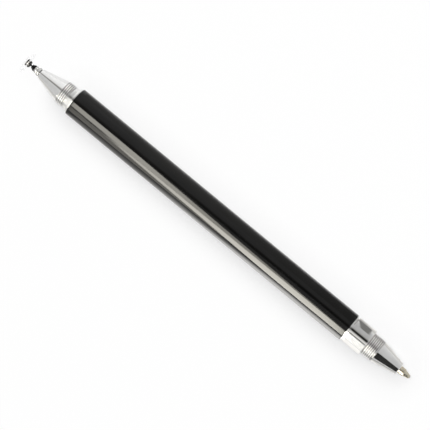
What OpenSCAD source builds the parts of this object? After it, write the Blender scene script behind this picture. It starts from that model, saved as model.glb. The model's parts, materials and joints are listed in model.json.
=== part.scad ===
// Two-ended stylus pen: a swivelling clear disc for touch screens on one end,
// a ballpoint under a screwed cone on the other, and a plain black tube between them.
// The pen lies along X on the plane Z = 0, with the disc towards -X and the point towards +X.

/* [Barrel] */
// Outer diameter of the barrel tube
barrel_d = 9; // [8.6:0.1:10]
// Length of the barrel tube
barrel_len = 104; // [95:1:120]
// Wall thickness of the barrel tube
barrel_wall = 0.6; // [0.5:0.02:0.6]

/* [Cap threads] */
// Outside diameter of the threads that take a screw cap
cap_thread_d = 7.5; // [7.3:0.1:7.8]
// Distance from one thread crest to the next
cap_thread_pitch = 0.6; // [0.5:0.05:0.6]
// Depth of the cap thread
cap_thread_depth = 0.28; // [0.2:0.02:0.3]
// Turns of cap thread on the stylus end
stylus_thread_turns = 4; // [2:1:4]
// Turns of cap thread on the pen end
pen_thread_turns = 6; // [3:1:6]

/* [Stylus end] */
// Diameter of the plain neck behind the cap thread
neck_d = 7.1; // [6.9:0.1:7.2]
// Diameter of the trim ring against the barrel
stylus_ring_d = 8.3; // [7.8:0.1:8.6]
// Thickness of that trim ring
stylus_ring_len = 0.7; // [0.4:0.1:0.8]
// Distance from the barrel to the base of the stylus cone
stylus_cone_start = 4.7; // [4.6:0.05:5.4]
// Length of the stylus cone
stylus_cone_len = 8.45; // [8:0.05:10]
// Diameter of the stylus cone at its base
stylus_cone_base_d = 7.04; // [6.8:0.02:7.2]
// Diameter of the stylus cone at its mouth
stylus_cone_mouth_d = 2.96; // [2.9:0.02:3.4]

/* [Disc tip] */
// Diameter of the clear disc
disc_d = 7; // [5:0.5:8]
// Thickness of the clear disc at its rim
disc_thick = 0.5; // [0.4:0.02:0.6]
// Diameter of the ball that the disc swivels on
ball_d = 0.9; // [0.86:0.02:0.96]
// Diameter of the stud's neck behind the ball
stud_neck_d = 0.4; // [0.36:0.02:0.42]
// Outside diameter of the socket cup
cup_d = 2.2; // [2:0.02:2.4]
// Distance from the mouth of the stylus cone to the centre of the ball
ball_reach = 4.1; // [4:0.05:4.3]

/* [Pen end] */
// Diameter of the plain chrome collar
collar_d = 8.6; // [8.2:0.1:8.9]
// Distance from the barrel to the front of the collar
collar_len = 7; // [5:0.5:9]
// Thickness of the trim ring between barrel and collar
pen_ring_len = 0.35; // [0.3:0.05:0.6]
// Length of the pen cone
pen_cone_len = 8.03; // [7:0.01:9]
// Diameter of the pen cone at its base
pen_cone_base_d = 7.16; // [6.8:0.02:7.2]
// Diameter of the pen cone at its mouth
pen_cone_mouth_d = 4; // [3.6:0.1:4.4]

/* [Refill] */
// Diameter of the refill tube
refill_d = 2.35; // [2.2:0.01:2.4]
// Length of the refill from its open end to the writing ball
refill_len = 67; // [60:1:67]
// Length of the point that shows in front of the tube
point_len = 2.6; // [2:0.1:3]
// Length of tube that shows in front of the pen cone
tube_shows = 1.4; // [1:0.1:3]
// Diameter of the writing ball
writing_ball_d = 1; // [0.7:0.1:1]

/* [Hidden] */
$fn = 96;

// Fits, as gaps on the radius
press_gap = 0.01;
run_gap = 0.03;

// Gap between faces that turn on each other, and the usual broken edge
face_gap = 0.02;
edge = 0.15;

// Fine thread that holds both cones: plain walls here, one gap apart
cone_thread_r = 2.6;
cone_spigot_len = 6.4;
seal_wire_r = 0.3;
seal_ring_r = 2.64;
seal_seat_r = 3;
seal_room = 0.8;

// Radii that several pieces share
barrel_r = barrel_d / 2;
bore_r = barrel_r - barrel_wall;
insert_bore_r = bore_r - 0.58;
spigot_r = insert_bore_r - press_gap;
thread_r = cap_thread_d / 2;
root_r = thread_r - cap_thread_depth;
neck_r = neck_d / 2;
ball_r = ball_d / 2;
cup_r = cup_d / 2;
disc_r = disc_d / 2;
collar_r = collar_d / 2;
refill_r = refill_d / 2;
tube_bore_r = refill_r - 0.2;
writing_ball_r = writing_ball_d / 2;

// Stations on the stylus end, measured outwards from the barrel's end face
stylus_insert_len = 9;
stylus_thread_end = stylus_cone_start - 0.2;
stylus_thread_start = stylus_thread_end - stylus_thread_turns * cap_thread_pitch;
stylus_mouth = stylus_cone_start + stylus_cone_len;
bush_r = 1.1;
bush_bore_r = 0.72;
bush_tail = stylus_mouth - 2.5;
bush_front = stylus_mouth + 2.2;
stud_r = bush_bore_r - run_gap;
stud_tail_len = 0.5;
flare_r = 0.94;
waist_r = 0.62;
flare_start = bush_front + 0.05;
ball_u = stylus_mouth + ball_reach;
flare_end = ball_u - 0.55;
waist_u = flare_end - 0.3;

// The hub and disc, measured on from the ball: the whole disc lies in front of it
socket_r = ball_r + 0.02;
cup_mouth = ball_u - 0.2;
hub_seat = ball_u + ball_r + 0.03;
hub_boss_r = 0.5;
disc_back = hub_seat + face_gap;
disc_boss_r = 1.4;
disc_boss_len = 0.32;
disc_front = disc_back + disc_boss_len + disc_thick;
rim_round = 0.2;
rivet_head_r = 1.1;
rivet_head_len = 0.45;
rivet_shank_r = 0.22;
rivet_shank_len = 0.15;
hub_boss_end = disc_front - 0.05 - rivet_head_len;
disc_floor = hub_boss_end - face_gap;

// Stations on the pen end, measured outwards from the barrel's end face
pen_insert_len = 11;
collar_groove_r = collar_r - 0.35;
pen_thread_start = collar_len + 0.05;
pen_thread_end = pen_thread_start + pen_thread_turns * cap_thread_pitch;
collar_end = pen_thread_end + 0.1;
pen_cone_start = collar_end + face_gap;
pen_mouth = pen_cone_start + pen_cone_len;
pen_guide_len = 4;
refill_way_r = 1.7;
tube_end = pen_mouth + tube_shows;
writing_ball_u = tube_end + point_len - writing_ball_r;
refill_tail = writing_ball_u + writing_ball_r - refill_len;
point_lip = writing_ball_u + 0.2;
point_plug_len = 3;
ink_len = 56;

// The holder that grips the refill's tail, and the tube that backs it up
holder_socket_len = 10;
holder_socket_r = 2.4;
holder_shoulder = refill_tail - 1.1;
holder_tail = holder_shoulder - 11;
holder_slots = 3;
holder_slot_w = 0.5;
holder_vent_r = 0.5;
spacer_r = bore_r - 0.05;
spacer_bore_r = bore_r - 0.7;
spacer_len = barrel_len - stylus_insert_len + holder_tail;

// Places along X
stylus_reach = disc_front;
pen_reach = writing_ball_u + writing_ball_r;
overall_len = stylus_reach + barrel_len + pen_reach;
barrel_x0 = stylus_reach - overall_len / 2;
barrel_x1 = barrel_x0 + barrel_len;
axis_z = barrel_r;

// Local +Z runs outwards along the pen from the barrel's stylus end
module stylus_axis() {
    translate([barrel_x0, 0, axis_z]) rotate([0, -90, 0]) children();
}

// Local +Z runs outwards along the pen from the barrel's pen end
module pen_axis() {
    translate([barrel_x1, 0, axis_z]) rotate([0, 90, 0]) children();
}

// A piece turned on a lathe, from an outline of [radius, station] points
module turned(outline) {
    rotate_extrude() polygon(outline);
}

// A plain ring with its two outer edges broken
module ring(inner_r, outer_r, start, end, broken = edge) {
    turned([
        [inner_r, start], [outer_r - broken, start], [outer_r, start + broken],
        [outer_r, end - broken], [outer_r - broken, end], [inner_r, end]
    ]);
}

// Outline points of a run of thread: flat crests and roots with sloping flanks
function thread_points(start, turns, major_r, minor_r, pitch) = [
    for (turn = [0 : turns - 1], corner = [[0, 1 / 6], [1, 1 / 3], [1, 2 / 3], [0, 5 / 6]])
        [corner[0] == 1 ? major_r : minor_r, start + (turn + corner[1]) * pitch]
];

// Outline points of a rounded bead between two stations
function bead_points(start, end, foot_r, top_r, steps = 6) = [
    for (i = [0 : steps])
        [foot_r + (top_r - foot_r) * sin(180 * i / steps), start + (end - start) * (1 - cos(180 * i / steps)) / 2]
];

// Outline points of a quarter round, from one angle to another
function arc_points(centre, r, from, to, steps = 5) = [
    for (i = [0 : steps])
        let (a = from + (to - from) * i / steps) centre + r * [cos(a), sin(a)]
];

// The black tube that everything is built into
module barrel() {
    color([0.03, 0.03, 0.03]) translate([barrel_x0, 0, axis_z]) rotate([0, 90, 0])
        ring(bore_r, barrel_r, 0, barrel_len);
}

// Brass bush pressed into a barrel end, flush with the end face
module barrel_insert(len) {
    ring(insert_bore_r, bore_r - press_gap, -len, 0);
}

module stylus_insert() {
    color("goldenrod") stylus_axis() barrel_insert(stylus_insert_len);
}

module pen_insert() {
    color("goldenrod") pen_axis() barrel_insert(pen_insert_len);
}

// Polished rings clamped between the barrel and the piece screwed into it
module stylus_trim_ring() {
    color("silver") stylus_axis() ring(insert_bore_r, stylus_ring_d / 2, 0, stylus_ring_len);
}

module pen_trim_ring() {
    color("silver") pen_axis() ring(insert_bore_r, collar_r, 0, pen_ring_len, edge / 2);
}

// Neck of the stylus end: a spigot in the insert, a plain shank, the cap thread and a tapped bore
module stylus_neck() {
    end_wall = -stylus_insert_len + 2.5;
    color("gainsboro") stylus_axis() turned(concat(
        [[0, -stylus_insert_len], [spigot_r, -stylus_insert_len], [spigot_r, stylus_ring_len],
         [neck_r, stylus_ring_len], [neck_r, stylus_thread_start], [root_r, stylus_thread_start]],
        thread_points(stylus_thread_start, stylus_thread_turns, thread_r, root_r, cap_thread_pitch),
        [[root_r, stylus_cone_start], [seal_seat_r, stylus_cone_start],
         [seal_seat_r, stylus_cone_start - seal_room - 0.05],
         [cone_thread_r + run_gap, stylus_cone_start - seal_room - 0.05],
         [cone_thread_r + run_gap, end_wall], [0, end_wall - 1]]
    ));
}

// Collar of the pen end: a spigot in the insert, the plain band, the cap thread and a tapped bore
module pen_collar() {
    chamfer = 0.15;
    groove_len = 0.4;
    spigot_bottom = pen_cone_start - cone_spigot_len - 0.3;
    color("gainsboro") pen_axis() turned(concat(
        [[refill_way_r, -pen_insert_len], [spigot_r, -pen_insert_len], [spigot_r, pen_ring_len],
         [collar_groove_r, pen_ring_len], [collar_groove_r, pen_ring_len + groove_len],
         [collar_r, pen_ring_len + groove_len], [collar_r, collar_len - chamfer],
         [collar_r - chamfer, collar_len], [root_r, collar_len]],
        thread_points(pen_thread_start, pen_thread_turns, thread_r, root_r, cap_thread_pitch),
        [[root_r, collar_end], [seal_seat_r, collar_end],
         [seal_seat_r, pen_cone_start - seal_room - 0.05],
         [cone_thread_r + run_gap, pen_cone_start - seal_room - 0.05],
         [cone_thread_r + run_gap, spigot_bottom], [refill_way_r, spigot_bottom - 0.5]]
    ));
}

// Rubber ring in the groove at the root of a cone's spigot
module cone_seal(cone_start) {
    rotate_extrude() translate([seal_ring_r, cone_start - seal_room / 2]) circle(seal_wire_r, $fn = 32);
}

module stylus_o_ring() {
    color("dimgray") stylus_axis() cone_seal(stylus_cone_start);
}

module pen_o_ring() {
    color("dimgray") pen_axis() cone_seal(pen_cone_start);
}

// Outline points of a screwed cone's spigot and seal groove, from its tail to the cone's base
function spigot_points(cone_start) = [
    [cone_thread_r - 0.3, cone_start - cone_spigot_len],
    [cone_thread_r, cone_start - cone_spigot_len + 0.3],
    [cone_thread_r, cone_start - seal_room],
    [seal_ring_r - seal_wire_r - press_gap, cone_start - seal_room],
    [seal_ring_r - seal_wire_r - press_gap, cone_start]
];

// Cone of the stylus end, bored from its mouth for the swivel bush
module stylus_cone() {
    bore_bottom = bush_tail - stud_tail_len - 0.4;
    color("gainsboro") stylus_axis() turned(concat(
        [[0, stylus_cone_start - cone_spigot_len]],
        spigot_points(stylus_cone_start),
        [[stylus_cone_base_d / 2 - 0.1, stylus_cone_start], [stylus_cone_base_d / 2, stylus_cone_start + 0.1],
         [stylus_cone_mouth_d / 2, stylus_mouth - 0.08], [stylus_cone_mouth_d / 2 - 0.08, stylus_mouth],
         [bush_r + press_gap, stylus_mouth], [bush_r + press_gap, bore_bottom], [0, bore_bottom - 0.6]]
    ));
}

// Beaded bush in the cone's mouth, in which the ball stud turns
module swivel_bush() {
    large_bead_end = stylus_mouth + 1.15;
    color("silver") stylus_axis() turned(concat(
        [[bush_bore_r, bush_tail], [bush_r, bush_tail], [bush_r, stylus_mouth]],
        bead_points(stylus_mouth, large_bead_end, 1, 1.34),
        bead_points(large_bead_end, bush_front, 0.84, 1.06),
        [[bush_bore_r, bush_front]]
    ));
}

// Ball stud: tail head, shank in the bush, flared waist, thin neck and the ball
module ball_stud() {
    tail_end = bush_tail - 0.05;
    color("darkgray") stylus_axis() {
        turned([
            [0, tail_end - stud_tail_len], [stud_r + 0.22, tail_end - stud_tail_len],
            [stud_r + 0.22, tail_end], [stud_r, tail_end], [stud_r, flare_start],
            [flare_r, flare_start], [waist_r, waist_u], [stud_neck_d / 2, flare_end],
            [stud_neck_d / 2, ball_u], [0, ball_u]
        ]);
        translate([0, 0, ball_u]) sphere(ball_r);
    }
}

// Hub: a cup snapped over the ball, whose front face backs the disc, and the boss that the disc turns on
module disc_hub() {
    back_bevel = 0.3;
    front_bevel = 0.08;
    color("darkgray") stylus_axis() difference() {
        turned([
            [0, cup_mouth], [cup_r - back_bevel, cup_mouth], [cup_r, cup_mouth + back_bevel],
            [cup_r, hub_seat - front_bevel], [cup_r - front_bevel, hub_seat], [hub_boss_r, hub_seat],
            [hub_boss_r, hub_boss_end], [0, hub_boss_end]
        ]);
        translate([0, 0, ball_u]) sphere(socket_r);
        translate([0, 0, hub_boss_end - rivet_shank_len - 0.02])
            cylinder(r = rivet_shank_r + press_gap, h = 1);
    }
}

// Rivet whose head keeps the disc on the hub's boss
module disc_rivet() {
    color("silver") stylus_axis() turned([
        [0, hub_boss_end - rivet_shank_len], [rivet_shank_r, hub_boss_end - rivet_shank_len],
        [rivet_shank_r, hub_boss_end], [rivet_head_r, hub_boss_end],
        [rivet_head_r, hub_boss_end + rivet_head_len - 0.06],
        [rivet_head_r - 0.06, hub_boss_end + rivet_head_len], [0, hub_boss_end + rivet_head_len]
    ]);
}

// Clear disc: a thin plate with a rounded rim, a boss on its back and a counterbore for the rivet's head
module stylus_disc() {
    back_round = 0.1;
    plate_back = disc_back + disc_boss_len;
    color([0.85, 0.9, 0.92, 0.4]) stylus_axis() turned(concat(
        [[hub_boss_r + run_gap, disc_back], [disc_boss_r - back_round, disc_back],
         [disc_boss_r, disc_back + back_round], [disc_boss_r, plate_back]],
        arc_points([disc_r - back_round, plate_back + back_round], back_round, -90, 0, 3),
        arc_points([disc_r - rim_round, disc_front - rim_round], rim_round, 0, 90),
        [[rivet_head_r + run_gap, disc_front], [rivet_head_r + run_gap, disc_floor],
         [hub_boss_r + run_gap, disc_floor]]
    ));
}

// Cone of the pen end, bored through to guide the refill
module pen_cone() {
    guide_r = refill_r + run_gap;
    guide_start = pen_mouth - pen_guide_len;
    mouth_round = 0.25;
    color("gainsboro") pen_axis() turned(concat(
        [[refill_way_r - 0.1, pen_cone_start - cone_spigot_len]],
        spigot_points(pen_cone_start),
        [[pen_cone_base_d / 2 - 0.1, pen_cone_start], [pen_cone_base_d / 2, pen_cone_start + 0.1]],
        arc_points([pen_cone_mouth_d / 2 - mouth_round, pen_mouth - mouth_round], mouth_round, 11, 90, 4),
        [[guide_r + 0.1, pen_mouth], [guide_r, pen_mouth - 0.1], [guide_r, guide_start],
         [refill_way_r - 0.1, guide_start - 0.4]]
    ));
}

// Plastic holder: a body across the bore and a slotted socket that grips the refill's tail
module refill_holder() {
    socket_end = refill_tail + holder_socket_len;
    grip_r = refill_r + run_gap;
    groove_count = 3;
    color("whitesmoke") pen_axis() difference() {
        turned([
            [holder_vent_r, holder_tail], [bore_r - 0.3, holder_tail], [bore_r - press_gap, holder_tail + 0.3],
            [bore_r - press_gap, holder_shoulder - 0.5], [bore_r - 0.5, holder_shoulder],
            [holder_socket_r, holder_shoulder], [holder_socket_r, socket_end - 0.6],
            [holder_socket_r - 0.4, socket_end], [grip_r + 0.4, socket_end], [grip_r, socket_end - 0.4],
            [grip_r, refill_tail], [holder_vent_r, refill_tail]
        ]);
        for (i = [0 : holder_slots - 1]) rotate(i * 360 / holder_slots)
            translate([0, -holder_slot_w / 2, refill_tail + 2])
                cube([holder_socket_r + 1, holder_slot_w, holder_socket_len]);
        for (i = [0 : groove_count - 1]) rotate(60 + i * 360 / groove_count)
            translate([bore_r - 0.5, -0.6, holder_tail - 1])
                cube([1, 1.2, holder_shoulder - holder_tail + 2]);
    }
}

// Plastic tube that carries the writing force from the holder back to the stylus end
module spacer_tube() {
    color("whitesmoke") pen_axis() translate([0, 0, holder_tail - spacer_len])
        ring(spacer_bore_r, spacer_r, 0, spacer_len);
}

// Metal tube of the refill, open at its tail
module refill_tube() {
    color("tan") pen_axis() ring(tube_bore_r, refill_r, refill_tail, tube_end, 0.05);
}

// Turned point: a plug in the tube, a step, the taper and a lip closed over the writing ball
module refill_point() {
    plug_r = tube_bore_r - press_gap;
    channel_r = 0.3;
    step_len = 0.35;
    color("tan") pen_axis() difference() {
        turned([
            [0, tube_end - point_plug_len], [plug_r, tube_end - point_plug_len], [plug_r, tube_end],
            [refill_r - 0.03, tube_end], [refill_r - 0.03, tube_end + step_len],
            [refill_r - 0.16, tube_end + step_len + 0.05], [writing_ball_r + 0.16, point_lip - 0.35],
            [writing_ball_r + 0.05, point_lip], [0, point_lip]
        ]);
        translate([0, 0, tube_end - point_plug_len - 1])
            cylinder(r = channel_r, h = writing_ball_u - tube_end + point_plug_len + 1);
        translate([0, 0, writing_ball_u]) sphere(writing_ball_r + 0.015);
    }
}

// Ink inside the tube, up against the back of the point
module ink_column() {
    ink_front = tube_end - point_plug_len;
    color([0.04, 0.05, 0.12]) pen_axis() translate([0, 0, ink_front - ink_len])
        cylinder(r = tube_bore_r - press_gap, h = ink_len);
}

module writing_ball() {
    color("silver") pen_axis() translate([0, 0, writing_ball_u]) sphere(writing_ball_r);
}

barrel();
stylus_insert();
stylus_trim_ring();
stylus_neck();
stylus_o_ring();
stylus_cone();
swivel_bush();
ball_stud();
disc_hub();
disc_rivet();
stylus_disc();
pen_insert();
pen_trim_ring();
pen_collar();
pen_o_ring();
pen_cone();
refill_holder();
spacer_tube();
refill_tube();
refill_point();
ink_column();
writing_ball();
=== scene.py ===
# Looks of a two-ended stylus pen, built around its solids: a lacquered tube between two chrome ends,
# a clear swivelling disc on one end and a ballpoint on the other.
import collections
import json
import math

import bmesh
import bpy
from mathutils import Matrix, Vector


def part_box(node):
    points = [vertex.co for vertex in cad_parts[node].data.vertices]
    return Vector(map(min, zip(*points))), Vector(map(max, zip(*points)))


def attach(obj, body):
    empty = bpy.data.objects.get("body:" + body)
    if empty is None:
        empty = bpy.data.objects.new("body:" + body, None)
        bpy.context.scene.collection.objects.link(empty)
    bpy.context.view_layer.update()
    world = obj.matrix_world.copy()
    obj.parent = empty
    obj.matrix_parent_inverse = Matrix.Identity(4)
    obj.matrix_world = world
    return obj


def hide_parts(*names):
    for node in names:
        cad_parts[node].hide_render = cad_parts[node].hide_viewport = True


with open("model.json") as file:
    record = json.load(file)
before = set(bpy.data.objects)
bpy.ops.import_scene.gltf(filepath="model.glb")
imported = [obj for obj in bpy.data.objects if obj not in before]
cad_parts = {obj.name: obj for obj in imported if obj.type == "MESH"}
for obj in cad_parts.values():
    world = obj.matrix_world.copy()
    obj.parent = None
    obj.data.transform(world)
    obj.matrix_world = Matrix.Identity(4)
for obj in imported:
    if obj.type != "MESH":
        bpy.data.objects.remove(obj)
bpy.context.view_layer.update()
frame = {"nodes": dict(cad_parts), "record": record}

MM = 0.001

# What the frame says: each node's body and finish, and where the barrel lies
record = frame["record"]
BODY_OF = {node: body for body, nodes in record["behaviour"]["bodies"].items() for node in nodes}
SLOT_OF = {part["node"]: part["material_slot"] for part in record["subparts"]}
barrel_low, barrel_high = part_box("barrel")
AXIS_Z = (barrel_low.z + barrel_high.z) / 2
BARREL_R = (barrel_high.z - barrel_low.z) / 2 / MM
BARREL_LEN = (barrel_high.x - barrel_low.x) / MM

# Sizes in millimetres. Stations run outwards along the pen from the barrel's end face on either end.

# Gaps between pieces that are pressed together, that meet face to face, and that turn or slide
PRESS_GAP = 0.01
FACE_GAP = 0.02
RUN_GAP = 0.03

# Barrel, and the spigots that its brass inserts hold
BARREL_WALL = 0.6
INSERT_WALL = 0.58
BORE_R = BARREL_R - BARREL_WALL
INSERT_BORE_R = BORE_R - INSERT_WALL
SPIGOT_R = INSERT_BORE_R - PRESS_GAP

# Threads for the caps, threads that hold the cones, and the seals under the cones
CAP_CREST_R = 3.75
CAP_ROOT_R = 3.47
CAP_PITCH = 0.6
CONE_CREST_R = 2.6
CONE_ROOT_R = 2.42
CONE_PITCH = 0.5
CONE_BORE_R = CONE_CREST_R + RUN_GAP
CONE_SPIGOT_LEN = 6.4
CONE_LEAD_IN_LEN = 0.3
CONE_LEAD_IN_DEPTH = 0.1
CONE_UNDERCUT_LEN = 0.1
SEAL_RING_R = 2.64
SEAL_WIRE_R = 0.3
SEAL_ROOM = 0.8
SEAL_SLACK = 0.05
SEAL_SEAT_R = 3.0
SEAL_GROOVE_R = 2.33

# Stylus end
STYLUS_RING_R = 4.15
STYLUS_RING_LEN = 0.7
STYLUS_INSERT_LEN = 9.0
NECK_R = 3.55
NECK_TO_THREAD = 0.15
NECK_END_WALL = 2.5
NECK_DRILL_TIP = 1.0
STYLUS_THREAD = (2.1, 4.5)
THREAD_RELIEF = 0.05
STYLUS_CONE_START = 4.7
STYLUS_CONE_BASE_R = 3.52
STYLUS_MOUTH = 13.15
STYLUS_MOUTH_R = 1.48
BUSH_R = 1.1
BUSH_BORE_R = 0.72
BUSH_TAIL = STYLUS_MOUTH - 2.5
BUSH_SEAT_END = BUSH_TAIL - 0.9
BUSH_DRILL_END = BUSH_TAIL - 1.5
BUSH_FRONT = STYLUS_MOUTH + 2.2
BEAD_GROOVE_R = 1.0
BEAD_GROOVE_LEN = 0.3
LARGE_BEAD_R = 1.34
LARGE_BEAD_END = STYLUS_MOUTH + 1.15
SMALL_BEAD_FOOT_R = 0.84
SMALL_BEAD_R = 1.06

# Disc tip
BALL_R = 0.45
BALL_AT = STYLUS_MOUTH + 4.1
STUD_R = BUSH_BORE_R - RUN_GAP
STUD_NECK_R = 0.2
STUD_HEAD_R = STUD_R + 0.22
STUD_HEAD_LEN = 0.5
STUD_TAIL = BUSH_TAIL - 0.55
FLARE_R = 0.98
FLARE_START = BUSH_FRONT + RUN_GAP
FLARE_END = BALL_AT - 0.55
FLARE_LIP = (FLARE_R - 0.05, FLARE_START + 0.42)
WAIST_R = 0.66
WAIST_START = (WAIST_R + 0.02, FLARE_END - 0.58)
WAIST_END = FLARE_END - 0.3
SOCKET_R = BALL_R + FACE_GAP
CUP_R = 1.1
CUP_MOUTH = BALL_AT - 0.2
CUP_BACK_BEVEL = 0.3
CUP_FRONT_BEVEL = 0.08
HUB_BOSS_R = 0.5
HUB_SEAT = BALL_AT + BALL_R + 0.03
DISC_R = 3.5
DISC_BOSS_R = 1.4
DISC_BACK = HUB_SEAT + FACE_GAP
PLATE_BACK = DISC_BACK + 0.32
DISC_FRONT = PLATE_BACK + 0.5
RIVET_SHANK_R = 0.22
RIVET_SHANK_LEN = 0.15
RIVET_R = 1.1
RIVET_END = DISC_FRONT - 0.05
RIVET_DIMPLE_R = (0.4, 0.5)
RIVET_DIMPLE_FLOOR = RIVET_END - 0.05
HUB_END = RIVET_END - 0.45
DISC_FLOOR = HUB_END - FACE_GAP

# Pen end
PEN_RING_LEN = 0.35
PEN_INSERT_LEN = 11.0
COLLAR_R = 4.3
COLLAR_GROOVE_R = 3.95
COLLAR_GROOVE_END = PEN_RING_LEN + 0.4
COLLAR_LEN = 7.0
COLLAR_BEVEL = 0.15
PEN_THREAD = (7.05, 10.65)
COLLAR_END = 10.75
COLLAR_BORE_SPARE = 0.3
COLLAR_BORE_TAPER = 0.5
PEN_CONE_START = COLLAR_END + FACE_GAP
PEN_CONE_BASE_R = 3.58
PEN_MOUTH = 18.8
PEN_MOUTH_R = 1.955
MOUTH_BEVEL = 0.1
COLLAR_WAY_R = 1.7
CONE_WAY_R = 1.6
CONE_WAY_TAPER = 0.4
REFILL_R = 1.175
GUIDE_R = REFILL_R + RUN_GAP
GUIDE_START = PEN_MOUTH - 4
TUBE_BORE_R = 0.975
TUBE_END = 20.2
TUBE_TAIL = -44.2
POINT_PLUG_R = TUBE_BORE_R - PRESS_GAP
POINT_PLUG_TAIL = TUBE_END - 3
POINT_SHOULDER_R = 1.145
POINT_SHOULDER_END = TUBE_END + 0.35
POINT_TAPER_START = (1.015, TUBE_END + 0.4)
POINT_LIP = 22.5
POINT_LIP_R = 0.55
POINT_NOSE = (0.66, POINT_LIP - 0.35)
POINT_BALL_AT = 22.3
POINT_SOCKET_R = 0.515
INK_WAY_R = 0.3

# How finely the turned pieces are cut, and how far outside a fillet its holding points lie
SEGMENTS = 128
BARREL_SEGMENTS = 192
CORNER_STEPS = 6
ARC_STEPS = 20
BEAD_STEPS = 16
WIRE_STEPS = 24
HOLD = 0.02
LONGEST_RUN = 2.5
SHARP_ANGLE = math.radians(46)
MERGE_DISTANCE = 1e-7

# Form of a thread's ridge, in parts of its pitch, and of its ends, in turns
THREAD_PHASES = (0, 0.13, 0.16, 0.18, 0.205, 0.25, 0.295, 0.32, 0.34, 0.37,
                 0.63, 0.66, 0.68, 0.705, 0.75, 0.795, 0.82, 0.84, 0.87)
THREAD_FLANK = (0.16, 0.34)
THREAD_RUN_OUT = 0.2

# Local x and y cross the pen and local z runs outwards, in millimetres
STYLUS_END = Matrix(((0, 0, -MM, barrel_low.x), (MM, 0, 0, 0), (0, -MM, 0, AXIS_Z), (0, 0, 0, 1)))
PEN_END = Matrix(((0, 0, MM, barrel_high.x), (MM, 0, 0, 0), (0, MM, 0, AXIS_Z), (0, 0, 0, 1)))


# Turned pieces. An outline is a list of (radius, station[, rounding]) points and threads.

class Thread:
    """A run of right-hand thread between two stations, whose ridge runs out at both ends."""

    def __init__(self, span, crest_r, root_r, pitch):
        self.start, self.end = span
        self.crest_r, self.root_r, self.pitch = crest_r, root_r, pitch
        self.turns = round((self.end - self.start) / pitch)

    def ridge(self, phase):
        """Height of a flat-topped ridge with rounded edges over one pitch, from 0 at the root to 1."""
        foot, top = THREAD_FLANK
        rise = max(0, min(1, (min(phase, 1 - phase) - foot) / (top - foot)))
        return rise * rise * (3 - 2 * rise)

    def point(self, turn, phase, angle):
        along = turn + phase + angle / (2 * math.pi)
        fade = max(0, min(1, along / THREAD_RUN_OUT, (self.turns - along) / THREAD_RUN_OUT))
        station = min(self.end, max(self.start, self.start + along * self.pitch))
        return self.root_r + (self.crest_r - self.root_r) * self.ridge(phase) * fade, station

    def rows(self):
        """Rows that follow the helix. Each joins the row one turn on where the ring closes."""
        return [
            lambda angle, turn=turn, phase=phase: self.point(turn, phase, angle)
            for turn in range(-1, self.turns) for phase in THREAD_PHASES
        ]


def rounded_corner(before, corner, after, radius):
    """Points of a fillet in an outline's corner, with a point just outside it on either side."""
    to_before = (before - corner).normalized()
    to_after = (after - corner).normalized()
    half = to_before.angle(to_after) / 2
    reach = radius / math.tan(half)
    centre = corner + (to_before + to_after).normalized() * radius / math.sin(half)
    first = corner + to_before * reach - centre
    last = corner + to_after * reach - centre
    sweep = math.pi - 2 * half
    fillet = [
        centre + (first * math.sin((1 - step / CORNER_STEPS) * sweep)
                  + last * math.sin(step / CORNER_STEPS * sweep)) / math.sin(sweep)
        for step in range(CORNER_STEPS + 1)
    ]
    return [corner + to_before * (reach + HOLD), *fillet, corner + to_after * (reach + HOLD)]


def outline_rows(outline, closed):
    """Rows of a turned piece, as (function of the angle, rows to step on where the ring closes)."""
    ends = []
    for item in outline:
        if isinstance(item, Thread):
            ends.append(((item.root_r, item.start), (item.root_r, item.end)))
        else:
            ends.append((item[:2], item[:2]))
    rows, last = [], None

    def plain(point):
        nonlocal last
        if last is not None:
            count = math.ceil((point - last).length / LONGEST_RUN)
            for step in range(1, count):
                between = last.lerp(point, step / count)
                rows.append((lambda angle, at=tuple(between): at, 0))
        rows.append((lambda angle, at=tuple(point): at, 0))
        last = point

    for index, item in enumerate(outline):
        if isinstance(item, Thread):
            plain(Vector(ends[index][0]))
            helix = item.rows()
            for number, row in enumerate(helix):
                rows.append((row, min(len(THREAD_PHASES), len(helix) - number)))
            last = None
            plain(Vector(ends[index][1]))
        elif len(item) == 3 and (closed or 0 < index < len(outline) - 1):
            before = Vector(ends[index - 1][1])
            after = Vector(ends[(index + 1) % len(outline)][0])
            for point in rounded_corner(before, Vector(item[:2]), after, item[2]):
                plain(point)
        else:
            plain(Vector(item[:2]))
    return rows


def turned_mesh(name, place, outline, closed, segments):
    """A watertight mesh turned about the pen's axis. An open outline starts and ends on the axis."""
    rows = outline_rows(outline, closed)
    made = bmesh.new()
    rings = []
    for row, _ in rows:
        ring = []
        for segment in range(segments):
            angle = 2 * math.pi * segment / segments
            radius, station = row(angle)
            point = Vector((radius * math.cos(angle), radius * math.sin(angle), station))
            ring.append(made.verts.new(place @ point))
        rings.append(ring)

    def vertex(number, segment):
        if segment < segments:
            return rings[number][segment]
        step_on = rows[number][1]
        return rings[number + step_on][0]

    for number in range(len(rows) if closed else len(rows) - 1):
        following = (number + 1) % len(rows)
        for segment in range(segments):
            corners = (vertex(number, segment), vertex(number, segment + 1),
                       vertex(following, segment + 1), vertex(following, segment))
            if len(set(corners)) == 4:
                made.faces.new(corners)
    bmesh.ops.remove_doubles(made, verts=made.verts, dist=MERGE_DISTANCE)
    bmesh.ops.recalc_face_normals(made, faces=made.faces)
    mesh = bpy.data.meshes.new(name)
    made.to_mesh(mesh)
    made.free()
    mesh.shade_smooth()
    mesh.set_sharp_from_angle(angle=SHARP_ANGLE)
    return mesh


def turned(name, node, place, outline, closed=False, segments=SEGMENTS, finish=None):
    """Adds a turned piece that stands for a CAD node: it rides on the node's body and takes its slot."""
    piece = bpy.data.objects.new(name, turned_mesh(name, place, outline, closed, segments))
    bpy.context.scene.collection.objects.link(piece)
    piece.data.materials.append(finish or FINISHES[SLOT_OF[node]])
    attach(piece, BODY_OF[node])
    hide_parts(node)
    return piece


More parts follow.
